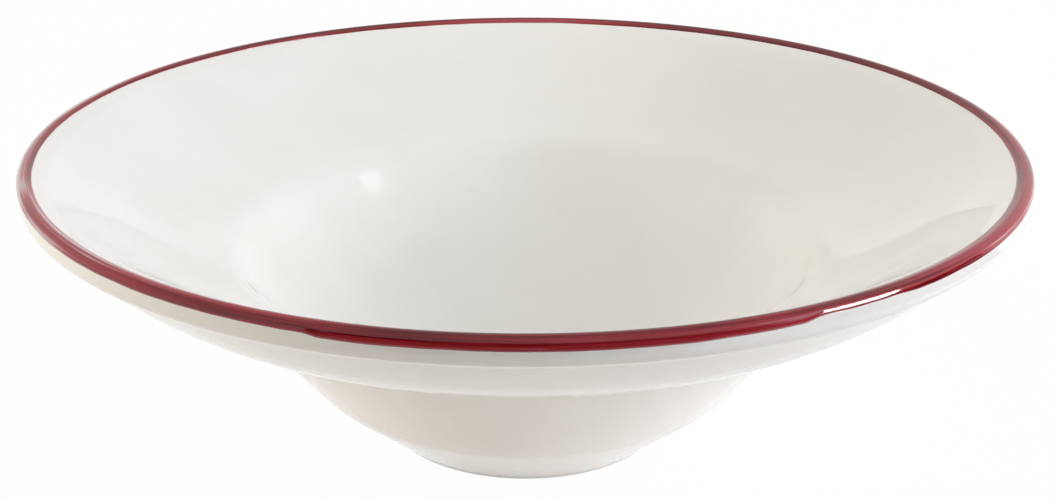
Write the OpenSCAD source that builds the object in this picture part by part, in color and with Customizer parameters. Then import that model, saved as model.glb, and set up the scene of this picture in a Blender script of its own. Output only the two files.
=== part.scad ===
// Wide-rimmed salad bowl: a turned stoneware body under a white glaze, with
// an enamel band brushed over the lip. All sizes are in millimetres, and the
// bowl stands on z = 0 around the Z axis.

/* [Bowl] */
// Diameter across the finished lip
rim_d = 260; // [220:1:320]
// Height of the finished lip above the table
height = 81.2; // [70:0.1:110]
// Thickness of the clay in the well and at the root of the flange
wall_t = 7.9; // [5:0.1:12]

/* [Well] */
// Diameter of the edge where the flange turns down into the well
well_d = 156; // [130:1:190]
// Diameter at which the lines of the well's inside wall and floor would meet
floor_d = 102; // [80:1:130]
// Thickness of the clay in the middle of the floor
floor_t = 7.8; // [5:0.1:12]
// Rounding between the wall and the floor of the well
floor_round = 88; // [30:1:110]
// Softening of the well's edge
edge_round = 14; // [2:0.5:20]
// Slope of the well's outside, in degrees
well_slope = 50; // [40:1:65]

/* [Flange] */
// Drop from the top of the lip to the well's edge
flange_drop = 27; // [18:0.1:36]
// How far the flange's two slopes meet below a straight line, inside
dish = 2.8; // [0.5:0.1:5]
// Rounding of the dish between the two slopes
dish_round = 100; // [60:5:300]
// How far the flange swells below a straight line, underneath
swell = 1.4; // [0.3:0.1:3]
// Rounding of the swell underneath
swell_round = 100; // [40:5:200]
// Softening of the ridge where the swell begins
ridge_round = 12; // [3:1:30]
// Rounding of the hollow where the flange meets the outside of the well
root_round = 9; // [3:1:20]

/* [Lip] */
// Height of the lip's outer face
lip_h = 4.8; // [3:0.1:8]
// Width of the lip's crown, seen from above
lip_w = 7; // [5:0.1:12]
// Slope of the crown towards the inside, in degrees
crown_slope = 24; // [10:1:32]
// Rounding of the lip's upper, outer edge
lip_round = 1.8; // [0.8:0.1:3]
// Rounding of the lip's lower edge
lip_under_round = 4; // [1:0.1:6]
// Rounding between the crown and the flange
crown_round = 8; // [3:0.5:15]

/* [Foot] */
// Diameter of the foot ring where it stands
foot_d = 73; // [55:1:95]
// Width of the foot ring
foot_w = 5.5; // [3:0.1:9]
// Height of the foot ring's outer wall
foot_h = 1.5; // [1:0.1:4]
// How far the foot ring's walls lean out of upright
foot_lean = 1.2; // [0:0.1:2]
// Depth of the hollow inside the foot ring
foot_hollow = 3.4; // [1.5:0.1:6]
// Rounding of the foot ring's edges
foot_round = 0.7; // [0.3:0.1:1.2]
// Rounding where the foot ring meets the body
cove_round = 1.4; // [0.5:0.1:4]
// Bare clay on the foot ring's walls, above their rounded edges
wipe_h = 0.15; // [0.05:0.05:0.4]
// Height at which the outside of the well turns in towards the foot
keel_h = 17.2; // [10:0.1:26]
// Softening of that turn
keel_round = 35; // [10:1:60]

/* [Coats] */
// Thickness of the white glaze
glaze_t = 0.27; // [0.15:0.01:0.6]
// Thickness of the enamel band over the glaze
band_t = 0.12; // [0.08:0.01:0.4]
// Clearance under each coat, which keeps its facets off the piece below
coat_gap = 0.08; // [0.04:0.01:0.15]
// Reach of the band from the top of the lip, inwards
band_in = 2.1; // [1:0.1:4]
// Reach of the band from the top of the lip, down the outside
band_out = 3.8; // [3:0.1:6]

/* [Hidden] */

// Facets of one turn, and how far a facet of a rounding may leave its arc
turn_facets = 180;
arc_error = 0.02;
// Where the dish and the swell are deepest, along their straight lines
dish_ratio = 0.44;
swell_ratio = 0.3;

// Heights over the clay: the glaze's surface, and the band's two sides
glaze_top = coat_gap + glaze_t;
band_under = glaze_top + coat_gap;
coats_t = band_under + band_t;
lip_r = rim_d / 2 - coats_t;
lip_top = height - coats_t;
floor_z = foot_hollow + floor_t;
foot_r = foot_d / 2;

// A point along p-q, set off to the right of the line
function along(p, q, share, depth) =
    let (d = q - p)
    p + share * d + depth * [d.y, -d.x] / norm(d);

// The corner that runs at a depth t under the corner v of the path p-v-q
function under(p, v, q, t) =
    let (a = (v - p) / norm(v - p), b = (q - v) / norm(q - v),
         n = [a.y + b.y, -a.x - b.x])
    v - n * 2 * t / (n * n);

// The point at height z on the line p-q
function at_height(p, q, z) = p + (q - p) * (z - p.y) / (q.y - p.y);

// The inside of the bowl, from the lip down to the axis
lip_edge = [lip_r, lip_top + lip_round * (tan(45 + crown_slope / 2) - 1)];
crown_end = lip_edge - lip_w * [1, tan(crown_slope)];
well_edge = [well_d / 2, height - flange_drop];
dish_low = along(crown_end, well_edge, 1 - dish_ratio, -dish);
floor_edge = [floor_d / 2, floor_z];
floor_mid = [0, floor_z];

// The outside: straight up the well's slope to the root of the flange, along
// the flange at the wall's thickness to the ridge, and from there to the lip
lip_under = [lip_r, lip_top - lip_h];
ridge = under(crown_end, dish_low, well_edge, wall_t);
well_way = [cos(well_slope), sin(well_slope)];
root = under(dish_low, well_edge, well_edge - well_way, wall_t);
swell_low = along(ridge, lip_under, swell_ratio, swell);
keel = at_height(root - well_way, root, keel_h);
foot_top = [foot_r + foot_lean, foot_h];
foot_outer = [foot_r, 0];
foot_inner = [foot_r - foot_w, 0];
hollow_edge = [foot_r - foot_w - foot_lean, foot_hollow];

// Corners of the clay's half section, each with the radius of its rounding:
// out along the underside, up the outside, over the lip and down the inside
corners = [
    [[0, foot_hollow], 0],
    [hollow_edge, cove_round],
    [foot_inner, foot_round],
    [foot_outer, foot_round],
    [foot_top, cove_round],
    [keel, keel_round],
    [root, root_round],
    [ridge, ridge_round],
    [swell_low, swell_round],
    [lip_under, lip_under_round],
    [lip_edge, lip_round],
    [crown_end, crown_round],
    [dish_low, dish_round],
    [well_edge, edge_round],
    [floor_edge, floor_round],
    [floor_mid, 0]
];
last_corner = len(corners) - 1;
// Where a point stands in the list of corners
function corner_of(p) =
    [for (i = [0 : last_corner]) if (corners[i][0] == p) i][0];
hollow_corner = corner_of(hollow_edge);
foot_inner_corner = corner_of(foot_inner);
foot_outer_corner = corner_of(foot_outer);
foot_top_corner = corner_of(foot_top);
lip_under_corner = corner_of(lip_under);
dish_corner = corner_of(dish_low);

function heading(i) =
    let (d = corners[i + 1][0] - corners[i][0]) d / norm(d);
function side_len(i) = norm(corners[i + 1][0] - corners[i][0]);
// Angle turned at a corner, positive to the left
function turned(i) =
    let (a = heading(i - 1), b = heading(i))
    atan2(a.x * b.y - a.y * b.x, a * b);
// Length that a rounding takes from both sides of its corner
function wanted(i) =
    i == 0 || i == last_corner ? 0 : corners[i][1] * tan(abs(turned(i)) / 2);
function taken(i) =
    wanted(i) * min(1, side_len(i - 1) / (wanted(i - 1) + wanted(i)),
                    side_len(i) / (wanted(i) + wanted(i + 1)));
function leftward(d) = [-d.y, d.x];
function spun(d, a) = [d.x * cos(a) - d.y * sin(a), d.x * sin(a) + d.y * cos(a)];

// Stations on the rounding of a corner, each a point and its outward normal
function rounding(i) =
    let (a = turned(i), side = sign(a), t = taken(i),
         r = t / tan(abs(a) / 2), d = heading(i - 1),
         mid = corners[i][0] - t * d + side * r * leftward(d),
         steps = max(2, ceil(abs(a) / (2 * acos(1 - arc_error / r)))))
    [for (k = [0 : steps])
        let (n = leftward(spun(d, a * k / steps)))
        [mid - side * r * n, -n]];
function roundings(first, last) =
    [for (i = [first : last]) each rounding(i)];

// A station part of the way from one to the next
function partway(s, q, share) = s + share * (q - s);
// A station at a reach from one, towards the next
function towards(s, q, reach) = partway(s, q, reach / norm(q[0] - s[0]));
function first_of(list) = list[0];
function last_of(list) = list[len(list) - 1];

// The glaze stops a little way up the foot ring's walls, where the foot is wiped
wipe_out = towards(last_of(rounding(foot_outer_corner)),
                   first_of(rounding(foot_top_corner)), wipe_h);
wipe_in = towards(first_of(rounding(foot_inner_corner)),
                  last_of(rounding(hollow_corner)), wipe_h);
underside_mid = [corners[0][0], [0, -1]];
inside_mid = [floor_mid, [0, 1]];
glazed = concat([wipe_out], roundings(foot_top_corner, last_corner - 1),
                [inside_mid]);
glazed_base = concat([underside_mid], rounding(hollow_corner), [wipe_in]);
clay_line = concat([underside_mid], roundings(hollow_corner, last_corner - 1),
                   [inside_mid]);

// Points at a height t over a run of stations
function over(run, t) = [for (s = run) s[0] + t * s[1]];
function flipped(list) = [for (i = [len(list) - 1 : -1 : 0]) list[i]];
// The outline of a coat that lies on a run of stations, from t0 to t1 over it
function coat(run, t0, t1) = concat(over(run, t1), flipped(over(run, t0)));

// The band is cut from the lip's stations by its reach from the highest one
lip_run = roundings(lip_under_corner, dish_corner);
lip_line = over(lip_run, glaze_top);
function walked(i) =
    i == 0 ? 0 : walked(i - 1) + norm(lip_line[i] - lip_line[i - 1]);
lip_walk = [for (i = [0 : len(lip_line) - 1]) walked(i)];
lip_high = max([for (p = lip_line) p.y]);
top_walk = max([for (i = [0 : len(lip_line) - 1])
    if (lip_line[i].y == lip_high) lip_walk[i]]);
band_from = top_walk - band_out;
band_to = top_walk + band_in;
// The station at a length w along the lip
function lip_station(w) =
    let (i = max([for (k = [0 : len(lip_walk) - 2]) if (lip_walk[k] <= w) k]))
    partway(lip_run[i], lip_run[i + 1],
            (w - lip_walk[i]) / (lip_walk[i + 1] - lip_walk[i]));
banded = concat([lip_station(band_from)],
    [for (i = [0 : len(lip_run) - 1])
        if (lip_walk[i] > band_from && lip_walk[i] < band_to) lip_run[i]],
    [lip_station(band_to)]);

module turned_solid(outline) {
    rotate_extrude($fn = turn_facets) polygon(outline);
}

// The stoneware: foot ring, well, flange and lip turned from one lump
module clay_body() {
    color("#d8c9b0") turned_solid(over(clay_line, 0));
}

// The white coat from the foot's wall over the lip to the middle of the well
module white_glaze() {
    color("#f1ede4") turned_solid(coat(glazed, coat_gap, glaze_top));
}

// The same coat on the disc inside the foot ring
module base_glaze() {
    color("#f1ede4") turned_solid(coat(glazed_base, coat_gap, glaze_top));
}

// The enamel band over the lip
module rim_band() {
    color("#7d1220") turned_solid(coat(banded, band_under, coats_t));
}

clay_body();
white_glaze();
base_glaze();
rim_band();
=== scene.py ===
import math

import bmesh
import bpy
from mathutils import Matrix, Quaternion, Vector, noise


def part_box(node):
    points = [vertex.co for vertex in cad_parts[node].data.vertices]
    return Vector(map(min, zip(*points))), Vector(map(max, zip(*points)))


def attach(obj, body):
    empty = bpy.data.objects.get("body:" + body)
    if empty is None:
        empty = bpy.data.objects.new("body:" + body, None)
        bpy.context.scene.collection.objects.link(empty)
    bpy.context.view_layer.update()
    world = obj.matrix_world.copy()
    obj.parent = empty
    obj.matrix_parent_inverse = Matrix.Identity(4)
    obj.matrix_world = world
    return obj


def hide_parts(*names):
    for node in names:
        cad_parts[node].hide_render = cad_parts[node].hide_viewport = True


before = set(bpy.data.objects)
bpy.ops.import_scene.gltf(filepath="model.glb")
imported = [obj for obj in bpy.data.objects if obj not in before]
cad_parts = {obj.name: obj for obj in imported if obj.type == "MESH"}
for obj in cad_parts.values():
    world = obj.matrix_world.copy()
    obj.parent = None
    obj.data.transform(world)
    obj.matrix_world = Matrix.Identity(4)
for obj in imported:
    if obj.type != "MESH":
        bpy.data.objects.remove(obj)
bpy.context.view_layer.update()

# The stoneware body: one lump of sandy clay, thrown and turned on the wheel.
# The glaze hides it, but the ring it stands on is wiped and stays bare.


def new_finish(name):
    finish = bpy.data.materials.new(name)
    finish.use_nodes = True
    tree = finish.node_tree
    return finish, tree, tree.nodes["Principled BSDF"]


def feed(tree, socket, value):
    if isinstance(value, bpy.types.NodeSocket):
        tree.links.new(value, socket)
    else:
        socket.default_value = value


def set_inputs(tree, node, **inputs):
    for name, value in inputs.items():
        feed(tree, node.inputs[name.replace("_", " ")], value)


def add_node(tree, kind, settings=(), **inputs):
    made = tree.nodes.new(kind)
    for name, value in dict(settings).items():
        setattr(made, name, value)
    set_inputs(tree, made, **inputs)
    return made


def graded(tree, fac, *stops):
    """A colour ramp's result; each stop is a place and a colour, of one value or three."""
    ramp = add_node(tree, "ShaderNodeValToRGB", Fac=fac)
    steps = ramp.color_ramp.elements
    while len(steps) < len(stops):
        steps.new(1.0)
    for step, (place, colour) in zip(steps, stops):
        step.position = place
        step.color = (*(colour if len(colour) == 3 else colour * 3), 1.0)
    return ramp.outputs["Color"]


bare_stoneware, tree, shader = new_finish("bare_stoneware")
place = add_node(tree, "ShaderNodeTexCoord").outputs["Object"]
cloudy = add_node(tree, "ShaderNodeTexNoise", Vector=place,
                  Scale=90.0, Detail=4.0, Roughness=0.6).outputs["Fac"]
grog = add_node(tree, "ShaderNodeTexVoronoi", Vector=place, Scale=900.0).outputs["Distance"]
clay_colour = graded(tree, cloudy, (0.3, (0.76, 0.70, 0.61)), (0.7, (0.85, 0.80, 0.72)))
specks = graded(tree, grog, (0.10, (0.55, 0.45, 0.35)), (0.26, (1.0, 1.0, 1.0)))
speckled = add_node(tree, "ShaderNodeMix", {"data_type": "RGBA", "blend_type": "MULTIPLY"},
                    Factor=0.5, A=clay_colour, B=specks)
sandy = add_node(tree, "ShaderNodeBump", Height=grog, Strength=0.4, Distance=0.0001)
set_inputs(tree, shader, Base_Color=speckled.outputs["Result"], Roughness=0.85,
           Normal=sandy.outputs["Normal"])
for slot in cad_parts["clay_body"].material_slots:
    slot.material = bare_stoneware

# The white glaze: a cream-white glass coat, poured and dipped, from the foot
# wall up the outside, over the lip and down to the middle of the well.
# It follows the clay's half section, so that section is drawn first.
MM = 0.001
rim_r, rim_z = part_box("rim_band")[1].x / MM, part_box("rim_band")[1].z / MM
# how far all coats and the glaze alone rise over the clay, and the glaze's thickness
coats_t, glaze_top, glaze_t = 0.55, 0.35, 0.27
wall_t, well_slope, crown_slope = 7.9, math.radians(50), math.radians(24)
lip_h, lip_w, lip_round = 4.8, 7.0, 1.8
well_r, flange_drop, floor_r, floor_z = 78.0, 27.0, 51.0, 11.2
dish, dish_ratio, swell, swell_ratio = 2.8, 0.44, 1.4, 0.3
foot_r, foot_w, foot_h, foot_lean = 36.5, 5.5, 1.5, 1.2
foot_hollow, cove_round, keel_z = 3.4, 1.4, 17.2
# where the glaze stops on the foot ring's walls: a share of the outer one from the
# table up, and of the inner one from the hollow down
wiped_outside, wiped_inside = 0.253, 0.821
roll_depth, roll_w = 0.45, 3.2


def beside(p, q, share, depth):
    side = (q - p).normalized()
    return p.lerp(q, share) + depth * Vector((side.y, -side.x))


def under(p, v, q, depth):
    a, b = (v - p).normalized(), (q - v).normalized()
    out = Vector((a.y + b.y, -a.x - b.x))
    return v - out * 2 * depth / out.length_squared


lip_r, lip_top = rim_r - coats_t, rim_z - coats_t
lip_rise = lip_round * (math.tan(math.pi / 4 + crown_slope / 2) - 1)
lip_edge = Vector((lip_r, lip_top + lip_rise))
crown_end = lip_edge - lip_w * Vector((1, math.tan(crown_slope)))
well_edge = Vector((well_r, rim_z - flange_drop))
dish_low = beside(crown_end, well_edge, 1 - dish_ratio, -dish)
floor_edge, floor_mid = Vector((floor_r, floor_z)), Vector((0, floor_z))
lip_under = Vector((lip_r, lip_top - lip_h))
ridge = under(crown_end, dish_low, well_edge, wall_t)
well_way = Vector((math.cos(well_slope), math.sin(well_slope)))
root = under(dish_low, well_edge, well_edge - well_way, wall_t)
swell_low = beside(ridge, lip_under, swell_ratio, swell)
keel = root - well_way * (root.y - keel_z) / well_way.y
foot_top = Vector((foot_r + foot_lean, foot_h))
wipe_out = Vector((foot_r, 0)).lerp(foot_top, wiped_outside)
# under the lip the glaze has run into a soft roll
roll_low = lip_under - Vector((0, roll_depth))
roll_end = lip_under + (swell_low - lip_under).normalized() * roll_w


def draw_section(bm, stations, coarsest=3.0):
    """A wire in the XZ plane through the stations, each (point, radius of its rounding).

    A rounding turns by at most the coarsest angle, in degrees, from one point to the next.
    """
    points = [p for p, _ in stations]
    sides = [q - p for p, q in zip(points, points[1:])]
    turns = [0] + [-a.angle_signed(b) for a, b in zip(sides, sides[1:])] + [0]
    wanted = [r * math.tan(abs(turn) / 2) for (_, r), turn in zip(stations, turns)]
    pen = bm.verts.new((points[0].x * MM, 0, points[0].y * MM))
    for i in range(1, len(stations) - 1):
        # a rounding never takes more of a side than its neighbour leaves
        reach = wanted[i] * min(1, sides[i - 1].length / (wanted[i - 1] + wanted[i]),
                                sides[i].length / (wanted[i] + wanted[i + 1]))
        along = sides[i - 1].normalized()
        start = points[i] - along * reach
        centre = start + reach / math.tan(turns[i] / 2) * Vector((-along.y, along.x))
        pen = bmesh.ops.extrude_vert_indiv(bm, verts=[pen])["verts"][0]
        pen.co = (start.x * MM, 0, start.y * MM)
        arc = bmesh.ops.spin(
            bm, geom=[pen], cent=(centre.x * MM, 0, centre.y * MM), axis=(0, -1, 0),
            angle=turns[i], dvec=(0, 0, 0),
            steps=max(6, math.ceil(abs(math.degrees(turns[i])) / coarsest)))
        pen = arc["geom_last"][0]
    pen = bmesh.ops.extrude_vert_indiv(bm, verts=[pen])["verts"][0]
    pen.co = (points[-1].x * MM, 0, points[-1].y * MM)


def turn_section(bm, steps):
    bmesh.ops.spin(bm, geom=bm.verts[:] + bm.edges[:], cent=(0, 0, 0), axis=(0, 0, 1),
                   angle=math.tau, steps=steps, dvec=(0, 0, 0), use_merge=True)
    bmesh.ops.remove_doubles(bm, verts=bm.verts[:], dist=0.01 * MM)
    bmesh.ops.recalc_face_normals(bm, faces=bm.faces[:])


def face_out(bm, face, way):
    bm.normal_update()
    if face.normal.dot(way) < 0:
        bmesh.ops.reverse_faces(bm, faces=bm.faces[:])
    bm.normal_update()


def highest(faces):
    return max(faces, key=lambda f: f.calc_center_median().z)


def raise_coat(bm, height):
    for v, lift in [(v, v.normal * height * MM) for v in bm.verts]:
        v.co += lift


def hand_over(bm, name, finish, thickness, node):
    mesh = bpy.data.meshes.new(name)
    for face in bm.faces:
        face.smooth = True
    bm.to_mesh(mesh)
    bm.free()
    mesh.materials.append(finish)
    piece = bpy.data.objects.new(name, mesh)
    bpy.context.scene.collection.objects.link(piece)
    wall = piece.modifiers.new("coat_thickness", "SOLIDIFY")
    wall.thickness, wall.offset = thickness * MM, -1.0
    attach(piece, "root")
    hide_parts(node)


bm = bmesh.new()
draw_section(bm, [
    (wipe_out, 0), (foot_top, cove_round), (keel, 35), (root, 9), (ridge, 12), (swell_low, 100),
    (roll_end, 3), (roll_low, 3.4), (lip_edge, lip_round), (crown_end, 8), (dish_low, 100),
    (well_edge, 14), (floor_edge, 88), (floor_mid, 0)])
turn_section(bm, steps=288)
bm.faces.ensure_lookup_table()
face_out(bm, highest(bm.faces), Vector((0, 0, 1)))
raise_coat(bm, glaze_top)
glass_ior = 1.5


def glaze_skin(tree, place):
    """The slow waves of a fired coat, with a fine orange peel over them."""
    wavy = add_node(tree, "ShaderNodeTexNoise", Vector=place,
                    Scale=75.0, Detail=2.0, Roughness=0.5).outputs["Fac"]
    peel = add_node(tree, "ShaderNodeTexNoise", Vector=place, Scale=650.0, Detail=1.0)
    slow = add_node(tree, "ShaderNodeBump", Height=wavy, Strength=0.5, Distance=0.00012)
    skin = add_node(tree, "ShaderNodeBump", Height=peel.outputs["Fac"], Strength=0.25,
                    Distance=0.00001, Normal=slow.outputs["Normal"])
    return skin.outputs["Normal"]


white_gloss_glaze, tree, shader = new_finish("white_gloss_glaze")
place = add_node(tree, "ShaderNodeTexCoord").outputs["Object"]
pooled = add_node(tree, "ShaderNodeTexNoise", Vector=place,
                  Scale=22.0, Detail=3.0, Roughness=0.55).outputs["Fac"]
colour = graded(tree, pooled, (0.30, (0.815, 0.80, 0.76)), (0.72, (0.86, 0.848, 0.815)))
smudged = add_node(tree, "ShaderNodeTexNoise", Vector=place, Scale=40.0, Detail=4.0).outputs["Fac"]
dulled = add_node(tree, "ShaderNodeMapRange", Value=smudged, To_Min=0.03, To_Max=0.09)
set_inputs(tree, shader, Base_Color=colour, Roughness=dulled.outputs["Result"],
           Normal=glaze_skin(tree, place), IOR=glass_ior)
hand_over(bm, "white_glaze_coat", white_gloss_glaze, glaze_t, "white_glaze")

# The glaze inside the foot ring: the same coat on the disc that the wiped ring
# cuts off from the rest, thin and flat, never seen while the bowl stands.
hollow_edge = Vector((foot_r - foot_w - foot_lean, foot_hollow))
wipe_in = hollow_edge.lerp(Vector((foot_r - foot_w, 0)), wiped_inside)
bm = bmesh.new()
draw_section(bm, [(Vector((0, foot_hollow)), 0), (hollow_edge, cove_round), (wipe_in, 0)])
turn_section(bm, steps=144)
innermost = min(bm.faces, key=lambda f: f.calc_center_median().xy.length)
face_out(bm, innermost, Vector((0, 0, -1)))
raise_coat(bm, glaze_top)
hand_over(bm, "base_glaze_disc", white_gloss_glaze, glaze_t, "base_glaze")

# The burgundy band: ceramic enamel brushed over the lip while the bowl turned
# on a banding wheel, in one long stroke, so its edges waver a little and the
# brush leaves streaks along it. On the left it ran almost dry. Its colour also
# carries painted reflection, paler towards both ends and at the back, and
# painted shade on the dry left end.
band_in_r, band_low_z, band_t, band_crown = 125.2, 78.87, 0.1, 0.2
crown_way = (crown_end - lip_edge).normalized()
band_low = Vector((lip_r, band_low_z))
band_end = lip_edge + crown_way * (lip_edge.x - band_in_r) / -crown_way.x
bm = bmesh.new()
# for each point, its share of the way from the lower edge, and the brush's load with the painted
# reflection and shade added to it
across, load_and_sheen = (bm.verts.layers.float.new(name) for name in ("across", "load_and_sheen"))
draw_section(bm, [(band_low, 0), (lip_edge, lip_round), (band_end, 0)], coarsest=6.0)
crown_flat = max(bm.edges, key=lambda e: e.calc_length())
bmesh.ops.subdivide_edges(bm, edges=[crown_flat], cuts=5)
row = [min(bm.verts, key=lambda v: v.co.z)]
while len(row) < len(bm.verts):
    row.append(next(v for e in row[-1].link_edges for v in e.verts if v not in row))
walked = 0.0
for last, v in zip(row, row[1:]):
    walked += (v.co - last.co).length
    v[across] = walked
for v in row:
    v[across] /= walked
turn_section(bm, steps=720)
face_out(bm, highest(bm.faces), Vector((0, 0, 1)))
raise_coat(bm, glaze_top)
bm.normal_update()


def smooth(start, end, at):
    share = min(1.0, max(0.0, (at - start) / (end - start)))
    return share * share * (3 - 2 * share)


def between(start, full, fading, end, at):
    return smooth(start, full, at) - smooth(fading, end, at)


def load_and_reflection(turn, t):
    """How far the band is paled or deepened; turn is in degrees from the front, right positive.
    Partly the brush's load, partly painted reflection and painted shade: the upper half is paled at
    the left and right, the lower half at both ends, where the glazed lip mirrors the bright room;
    the dry left end carries painted shade; and the band is paler at the back.
    """
    upper, lower = smooth(0.25, 0.4, t), 1 - smooth(0.2, 0.35, t)
    # on the left the brush ran dry; the grey-lilac this gives the rounding is painted shade and
    # reflection
    dry_and_shaded_end = (0.15 + 0.95 * (1 - smooth(0.5, 0.62, t))) * between(-128, -108, -74, -66, turn)
    # painted reflection: the upper half is paled at the left and at the right end
    thin_and_sheen_above = (0.35 * between(-78, -66, -18, -6, turn) + 0.45 * between(-78, -66, -50, -30, turn)
                  + 0.24 * between(15, 26, 85, 110, turn) + 0.25 * between(34, 42, 54, 66, turn))
    # painted reflection: the lower half is paled at both ends and a little at the front
    thin_and_sheen_below = (0.45 * between(-78, -66, -57, -50, turn) + 0.14 * between(-6, 14, 25, 34, turn)
                  - 0.18 * between(38, 42, 49, 53, turn) + 0.30 * between(51, 56, 100, 120, turn)
                  + 0.30 * between(60, 70, 100, 120, turn))
    # paler at the back
    paler_behind = 0.45 * smooth(158, 176, abs(turn))
    # deeper at the left front
    deeper_left = 0.22 * between(-52, -32, -12, -2, turn)
    return deeper_left - paler_behind - dry_and_shaded_end - upper * thin_and_sheen_above - lower * thin_and_sheen_below


def low_wander(turn, way):
    """Rise of the lower edge, with the steps that the brush left."""
    steps = (-0.7 * smooth(-20.5, -18.5, turn) + 0.3 * smooth(15, 26, turn)
             + 0.95 * smooth(26, 28.5, turn) - 0.5 * smooth(37, 41, turn)
             - 0.05 * smooth(60, 150, turn))
    return steps + 0.10 * noise.noise(way * 6.0) + 0.10 * noise.noise(way * 21.0)


def in_wander(way):
    """Reach of the inner edge, towards the middle of the bowl."""
    aside = Vector((0, 0, 7))
    return (0.35 * way.x - 0.75 * way.x ** 2
            + 0.14 * noise.noise(way * 5.0 + aside) + 0.08 * noise.noise(way * 19.0 + aside))


# the lower edge draws this share of the band's width along, and so does the inner one
edge_share = 0.4
for v, normal in [(v, v.normal.copy()) for v in bm.verts]:
    way = Vector((v.co.x, v.co.y, 0)).normalized()
    turn = math.degrees(math.atan2(way.x, -way.y))
    t = v[across]
    v[load_and_sheen] = load_and_reflection(turn, t)
    v.co.z += low_wander(turn, way) * max(0.0, 1 - t / edge_share) * MM
    slide = in_wander(way) * max(0.0, (t - (1 - edge_share)) / edge_share)
    v.co += (way * crown_way.x + Vector((0, 0, crown_way.y))) * slide * MM
    v.co += normal * band_crown * MM * (1 - abs(2 * t - 1) ** 10)


def figured(tree, operation, *values):
    made = add_node(tree, "ShaderNodeMath", {"operation": operation})
    for socket, value in zip(made.inputs, values):
        feed(tree, socket, value)
    return made.outputs["Value"]


burgundy_enamel, tree, shader = new_finish("burgundy_enamel")
place = add_node(tree, "ShaderNodeTexCoord").outputs["Object"]
over, laden_and_sheen = (add_node(tree, "ShaderNodeAttribute", {"attribute_name": name}).outputs["Fac"]
               for name in ("across", "load_and_sheen"))
apart = add_node(tree, "ShaderNodeSeparateXYZ", Vector=place).outputs
laid = add_node(tree, "ShaderNodeCombineXYZ", X=apart["X"], Y=apart["Y"], Z=over)
streaky = add_node(tree, "ShaderNodeMapping", Vector=laid.outputs["Vector"],
                   Scale=(13.0, 13.0, 8.0))
bristles = add_node(tree, "ShaderNodeTexNoise", Vector=streaky.outputs["Vector"],
                    Scale=1.0, Detail=4.0, Roughness=0.65).outputs["Fac"]
thickness = graded(tree, over, (0.0, (0.45,)), (0.06, (0.64,)), (0.22, (0.68,)), (0.34, (1.1,)),
                   (0.95, (1.1,)), (1.0, (0.3,)))
drawn = add_node(tree, "ShaderNodeMapRange", Value=bristles, From_Min=0.41, From_Max=0.59,
                 To_Min=-0.3, To_Max=0.3).outputs["Result"]
# the enamel's amount, with the painted reflection and shade of the load added
enamel_and_sheen = figured(tree, "ADD", figured(tree, "ADD", drawn, thickness), laden_and_sheen)
# from enamel so thin that the white shows, greyed and tinted lilac as painted shade and reflection,
# through the pale pink of painted reflection, to the deep red of a full brush
red = graded(tree, figured(tree, "MULTIPLY", enamel_and_sheen, 0.5),
             (0.0, (0.48, 0.40, 0.41)), (0.06, (0.47, 0.24, 0.27)), (0.20, (0.355, 0.036, 0.048)),
             (0.36, (0.30, 0.015, 0.022)), (0.50, (0.160, 0.004, 0.009)),
             (0.65, (0.09, 0.002, 0.005)))
grooves = add_node(tree, "ShaderNodeBump", Height=bristles, Strength=0.3, Distance=0.00006,
                   Normal=glaze_skin(tree, place))
shine = add_node(tree, "ShaderNodeMapRange", Value=bristles, To_Min=0.02, To_Max=0.07)
set_inputs(tree, shader, Base_Color=red, Roughness=shine.outputs["Result"],
           Normal=grooves.outputs["Normal"], IOR=glass_ior)
hand_over(bm, "painted_rim_band", burgundy_enamel, band_t, "rim_band")

# The studio: a pale paper floor in a white tent that is lit as a ring, softboxes
# and low panels on both sides, black cards in front that keep the lip from going
# pale, a tall window on the right for the glint, and the camera in front.


def hang_sheet(name, finish, corner, side, other):
    bm = bmesh.new()
    start = bm.verts.new(corner)
    edge = bmesh.ops.extrude_vert_indiv(bm, verts=[start])
    edge["verts"][0].co += Vector(side)
    far = bmesh.ops.extrude_edge_only(bm, edges=edge["edges"])["geom"]
    far_corners = [v for v in far if isinstance(v, bmesh.types.BMVert)]
    bmesh.ops.translate(bm, verts=far_corners, vec=other)
    mesh = bpy.data.meshes.new(name)
    bm.to_mesh(mesh)
    bm.free()
    mesh.materials.append(finish)
    sheet = bpy.data.objects.new(name, mesh)
    bpy.context.scene.collection.objects.link(sheet)
    return sheet


def seen_plainly(tree):
    path = add_node(tree, "ShaderNodeLightPath").outputs
    mirrored = figured(tree, "MAXIMUM", path["Is Camera Ray"], path["Is Glossy Ray"])
    return figured(tree, "MAXIMUM", mirrored, path["Is Transmission Ray"])


def blend_shaders(tree, fac, first, second, output):
    both = add_node(tree, "ShaderNodeMixShader", Fac=fac)
    for socket, shader in zip(both.inputs[1:], (first, second)):
        feed(tree, socket, shader)
    set_inputs(tree, tree.nodes[output], Surface=both.outputs["Shader"])


white_paper, tree, shader = new_finish("white_paper")
set_inputs(tree, shader, Base_Color=(0.9, 0.862, 0.81, 1), Roughness=0.9, Specular_IOR_Level=0.0)
glow = add_node(tree, "ShaderNodeEmission", Color=(1, 1, 1, 1), Strength=1.0)
glow_share = figured(tree, "MULTIPLY", seen_plainly(tree), 0.97)
blend_shaders(tree, glow_share, shader.outputs["BSDF"], glow.outputs["Emission"],
              "Material Output")
hang_sheet("studio_floor", white_paper, (-4, -4, -0.0002), (8, 0, 0), (0, 8, 0))

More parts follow.
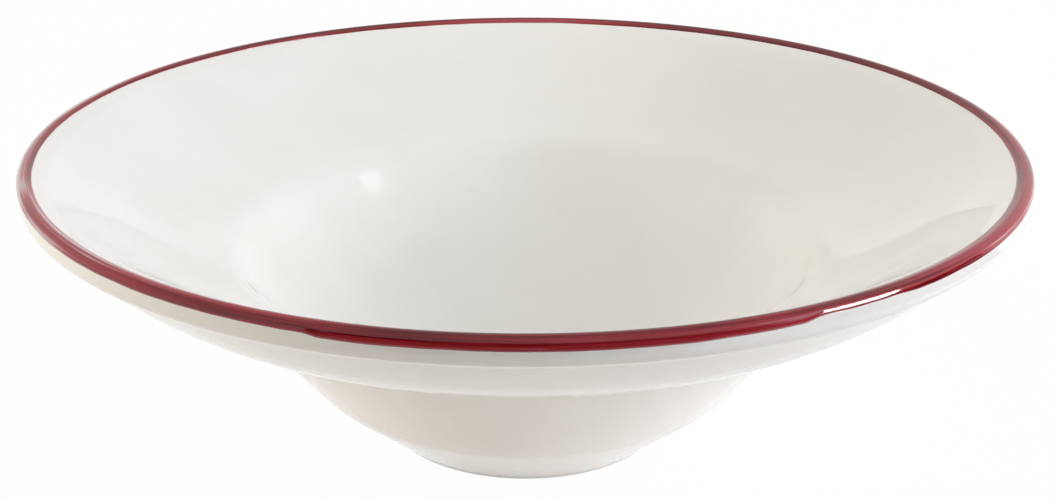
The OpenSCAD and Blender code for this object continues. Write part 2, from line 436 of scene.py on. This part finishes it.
black_card, tree, shader = new_finish("black_card")
set_inputs(tree, shader, Base_Color=(0.02, 0.02, 0.02, 1), Roughness=0.8, Specular_IOR_Level=0.0)
for name, corner, side, other in (
        ("front_card", (-0.35, -0.9, 0.001), (1.45, 0, 0), (0, 0.638, 0)),
        ("side_card", (0.225, -0.225, 0.001), (0.875, 0, 0), (0, 0.275, 0)),
        ("front_flag", (-0.75, -0.9, 0), (1.85, 0, 0), (0, 0, 0.65)),
        ("side_flag", (1.1, -0.9, 0), (0, 1.2, 0), (0, 0, 0.35))):
    card = hang_sheet(name, black_card, corner, side, other)
    card.visible_camera = False

tent = bpy.data.worlds.new("white_tent")
bpy.context.scene.world = tent
tent.use_nodes = True
tree = tent.node_tree
way = add_node(tree, "ShaderNodeTexCoord").outputs["Generated"]
height = add_node(tree, "ShaderNodeSeparateXYZ", Vector=way).outputs["Z"]
ring = graded(tree, height, (0.28, (0.0,)), (0.40, (0.98, 0.99, 1.0)), (0.65, (0.98, 0.99, 1.0)),
              (0.78, (0.0,)))
soft = tree.nodes["Background"]
set_inputs(tree, soft, Color=ring, Strength=2.1)
walls = graded(tree, height, (0.20, (1.0,)), (0.60, (0.75,)))
plain = add_node(tree, "ShaderNodeBackground", Color=walls, Strength=1.0)
blend_shaders(tree, seen_plainly(tree), soft.outputs["Background"], plain.outputs["Background"],
              "World Output")

white, above_foot = (1.0, 1.0, 1.0), (0, 0, 0.05)


def hang_lamp(name, at, size, watts, colour=white, towards=above_foot,
              mirrored=False, lit=True, lean=0.0):
    lamp = bpy.data.lights.new(name, "AREA")
    lamp.shape = "RECTANGLE"
    lamp.size, lamp.size_y = size
    lamp.energy = watts
    lamp.color = colour
    hung = bpy.data.objects.new(name, lamp)
    hung.location = at
    aimed = (Vector(towards) - Vector(at)).to_track_quat("-Z", "Y")
    hung.rotation_euler = (aimed @ Quaternion((0, 0, 1), -lean)).to_euler()
    hung.visible_camera = False
    hung.visible_glossy = mirrored
    hung.visible_diffuse = lit
    bpy.context.scene.collection.objects.link(hung)


hang_lamp("softbox_right", (0.85, 0, 0.42), (0.6, 0.3), 2.4, (0.86, 0.90, 1.0))
hang_lamp("panel_right", (0.77, -0.28, 0.16), (0.6, 0.28), 3.3, (0.92, 0.91, 1.0))
hang_lamp("softbox_left", (-0.9, 0, 0.9), (0.8, 0.8), 1.75, (1.0, 0.75, 0.42))
hang_lamp("panel_left", (-0.8, -0.1, 0.15), (0.6, 0.28), 1.7, (1.0, 0.86, 0.64))
hang_lamp("lamp_high_right", (0.884, -0.115, 0.787), (0.15, 0.12), 0.13,
          towards=(-0.046, 0.058, 0.048), mirrored=True)
hang_lamp("window_glint", (0.884, -0.314, 0.415), (0.38, 0.66), 19.0,
          towards=(0.07, -0.11, 0.08), mirrored=True, lit=False, lean=math.radians(24))

picture_w, focal_length, look_down = 1055, 1871.97, 0.3707
lens = bpy.data.cameras.new("camera")
lens.sensor_width = 36.0
lens.lens = lens.sensor_width * focal_length / picture_w
lens.clip_start = 0.01
camera = bpy.data.objects.new("camera", lens)
camera.location = (0.00054, -0.46893, 0.23191)
camera.rotation_euler = (math.pi / 2 - look_down, 0, 0)
bpy.context.scene.collection.objects.link(camera)
bpy.context.scene.camera = camera
bpy.context.scene.view_settings.view_transform = "Standard"
